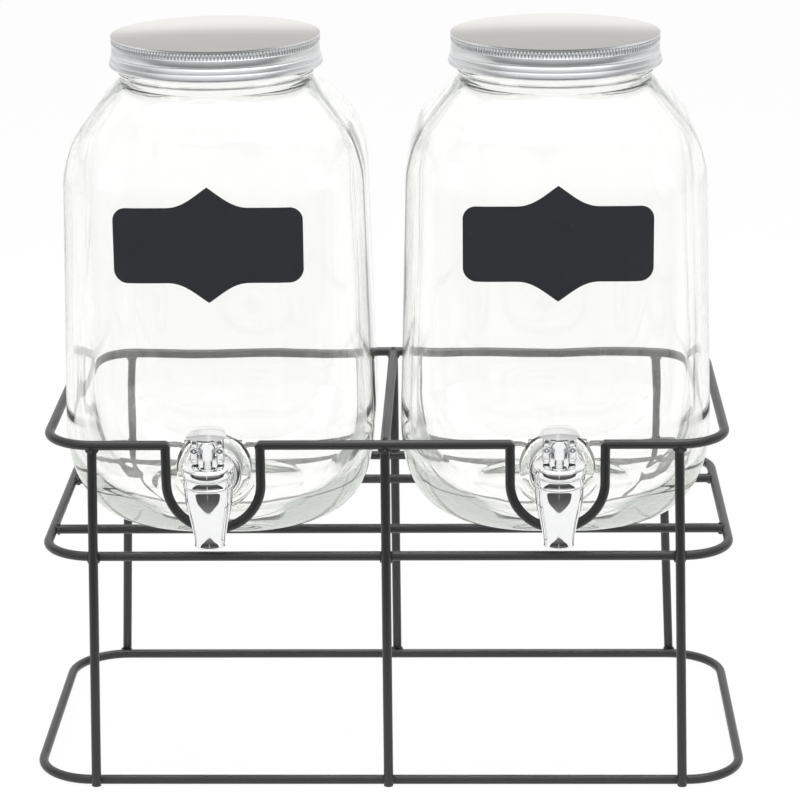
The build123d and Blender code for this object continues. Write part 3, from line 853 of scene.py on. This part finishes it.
def beadTree():
    tree, grow, given = treeFor("weldBeads", [("Geometry", "NodeSocketGeometry"),
                                              ("Bead Radius", "NodeSocketFloat"),
                                              ("Unevenness", "NodeSocketFloat"), ("Seed", "NodeSocketInt"),
                                              ("Finish", "NodeSocketMaterial")])
    spots = grow.add("GeometryNodeMeshToPoints", None, {"Mesh": given["Geometry"]})
    bead = grow.add("GeometryNodeMeshIcoSphere", None, {"Radius": given["Bead Radius"], "Subdivisions": 2})
    size = grow.add("FunctionNodeRandomValue", {"data_type": "FLOAT"},
                    {2: 0.8, 3: 1.25, "Seed": given["Seed"]}, out=1)
    placed = grow.add("GeometryNodeInstanceOnPoints", None, {"Points": spots, "Instance": bead, "Scale": size})
    real = grow.add("GeometryNodeRealizeInstances", None, {"Geometry": placed})
    lump = grow.add("ShaderNodeTexNoise", None, {"Scale": 700.0, "Detail": 1.0})
    push = (lump - 0.5) * given["Unevenness"]
    away = grow.add("ShaderNodeVectorMath", {"operation": "SCALE"},
                    {0: grow.add("GeometryNodeInputNormal"), "Scale": push})
    rough = grow.add("GeometryNodeSetPosition", None, {"Geometry": real, "Offset": away})
    soft = grow.add("GeometryNodeSetShadeSmooth", None, {"Geometry": rough})
    painted = grow.add("GeometryNodeSetMaterial", None, {"Geometry": soft, "Material": given["Finish"]})
    grow.add("NodeGroupOutput", None, {"Geometry": painted})
    return tree


weldMesh = bpy.data.meshes.new("weldPlaces")
weldMesh.from_pydata([Vector(p) * mm for p in weldPlaces()], [], [])
welds = grown("weldBeads", beadTree(), weldMesh, {
    "Bead Radius": rack["bead"] * mm, "Unevenness": rack["unevenness"] * mm, "Seed": rack["seed"],
    "Finish": finishes["black_wire"]})
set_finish(welds, "black_wire")
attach(welds, "rack")
print("weld beads made:", len(weldMesh.vertices))


# camera at the photograph's place
view = {"place": (0.0478, -1.5575, 0.6612), "pitch": 0.296, "yaw": -0.027, "roll": -0.011, "lens": 135.0}


def addCamera():
    p, y, r = view["pitch"], view["yaw"], view["roll"]
    right = Vector((math.cos(y), -math.sin(y), 0))
    ahead = Vector((math.sin(y) * math.cos(p), math.cos(y) * math.cos(p), -math.sin(p)))
    up = Vector((math.sin(y) * math.sin(p), math.cos(y) * math.sin(p), math.cos(p)))
    across = right * math.cos(r) + up * math.sin(r)
    above = up * math.cos(r) - right * math.sin(r)
    turn = Matrix((across, above, -ahead)).transposed().to_4x4()
    data = bpy.data.cameras.new("camera")
    data.sensor_width = 36
    data.lens = view["lens"]
    data.clip_end = 50
    camera = bpy.data.objects.new("camera", data)
    camera.matrix_world = Matrix.Translation(view["place"]) @ turn
    bpy.context.scene.collection.objects.link(camera)
    bpy.context.scene.camera = camera


# studio: a pale floor, soft lamps, and a white room with a dark side towards the camera
studio = {
    "floor": (-2.6, 2.6, -0.32, 3.4), "pale": (0.86, 0.86, 0.855, 1), "share": 0.95,
    "dimFrom": 0.6, "dimTo": 0.95, "dim": 0.95,
    "lamps": (("overhead", (0.1, 0.1, 1.5), (0, 0, 0.2), 1.3, 17),
              ("leftSoft", (-1.5, -0.9, 0.9), (0, 0, 0.25), 0.9, 11),
              ("rightSoft", (1.5, -0.7, 0.8), (0, 0, 0.25), 0.9, 9)),
}
# what metal and glass see of the room: where each dark part starts and ends, and how dark it is
shades = {
    "frontY": (-0.12, -0.5), "frontZ": (0.12, -0.28), "front": 0.94, "lowZ": (-0.35, -0.7), "lowLift": 0.16,
    "stripX": 0.02, "stripSpan": (0.07, 0.0), "stripZ": (-0.44, -0.34), "stripLift": 0.5,
    "flankX": (0.80, 0.95), "flank": 0.6, "besidesY": (0.5, 0.15), "besides": 0.36,
    "aboveY": (0.2, 0.5), "aboveLow": (0.152, 0.174), "aboveHigh": (0.298, 0.268), "above": 0.42,
    "most": 0.95, "through": 0.55, "plain": 0.62,
}


def addFloor():
    x0, x1, y0, y1 = studio["floor"]
    mesh = bpy.data.meshes.new("floor")
    mesh.from_pydata([(x0, y0, 0), (x1, y0, 0), (x1, y1, 0), (x0, y1, 0)], [], [(0, 1, 2, 3)])
    floor = bpy.data.objects.new("floor", mesh)
    bpy.context.scene.collection.objects.link(floor)
    material, paint = newFinish("paleFloor")
    path = paint.add("ShaderNodeLightPath")
    camera, glossy, through = [Flow(paint, path.socket.node.outputs[n])
                               for n in ("Is Camera Ray", "Is Glossy Ray", "Is Transmission Ray")]
    place = paint.add("ShaderNodeTexCoord", out="Object")
    across = paint.add("ShaderNodeSeparateXYZ", None, {0: place})
    far = paint.ramp(abs(across), studio["dimFrom"], studio["dimTo"]) * studio["dim"]  # duller sides for the lids
    share = (camera + glossy * (1 - far) + through).maths("MINIMUM", 1.0) * studio["share"]
    matt = paint.add("ShaderNodeBsdfDiffuse", None, {"Color": studio["pale"]})
    white = paint.add("ShaderNodeEmission", None, {"Color": (1, 1, 1, 1), "Strength": 1.0})
    paint.close(paint.add("ShaderNodeMixShader", None, {0: share, 1: matt, 2: white}))
    mesh.materials.append(material)


def addLamps():
    for name, place, aim, size, power in studio["lamps"]:
        data = bpy.data.lights.new(name, "AREA")
        data.size = size
        data.energy = power
        lamp = bpy.data.objects.new(name, data)
        lamp.location = place
        lamp.visible_glossy = name == "overhead"
        lamp.rotation_euler = (Vector(aim) - Vector(place)).to_track_quat("-Z", "Y").to_euler()
        bpy.context.scene.collection.objects.link(lamp)


def addRoom():
    world = bpy.data.worlds.new("room")
    world.use_nodes = True
    bpy.context.scene.world = world
    room = Finish(world.node_tree)
    way = room.add("ShaderNodeTexCoord", out="Generated")
    split = room.add("ShaderNodeSeparateXYZ", None, {0: way})
    x, y, z = [Flow(room, o) for o in split.socket.node.outputs]
    path = room.add("ShaderNodeLightPath").socket.node.outputs
    through = Flow(room, path["Is Transmission Ray"])
    level = (x * x + y * y + 0.0001) ** 0.5
    front = room.ramp(y, *shades["frontY"]) * room.ramp(z, *shades["frontZ"])
    strip = room.ramp(abs(x + shades["stripX"]), *shades["stripSpan"]) * room.ramp(z, *shades["stripZ"])
    flank = room.ramp(abs(x), *shades["flankX"]) * shades["flank"]
    besides = room.ramp(abs(y / level), *shades["besidesY"]) * shades["besides"]
    above = room.ramp(y, *shades["aboveY"]) * room.ramp(z, *shades["aboveLow"])
    above = above * room.ramp(z, *shades["aboveHigh"]) * shades["above"]
    lift = shades["front"] - shades["stripLift"] * strip - shades["lowLift"] * room.ramp(z, *shades["lowZ"])
    dark = (front * lift + flank.maths("MAXIMUM", besides) + above).maths("MINIMUM", shades["most"])
    seen = 1 - dark * (1 - through * shades["through"])
    plain = Flow(room, path["Is Diffuse Ray"])
    lit = plain * shades["plain"] + (1 - plain) * seen
    shown = Flow(room, path["Is Camera Ray"])
    strength = shown + (1 - shown) * lit
    sky = room.add("ShaderNodeBackground", None, {"Color": (1, 1, 1, 1), "Strength": strength})
    room.add("ShaderNodeOutputWorld", None, {"Surface": sky})


addCamera()
addFloor()
addLamps()
addRoom()
bpy.context.scene.view_settings.view_transform = "Standard"
print("camera, floor and lamps set")
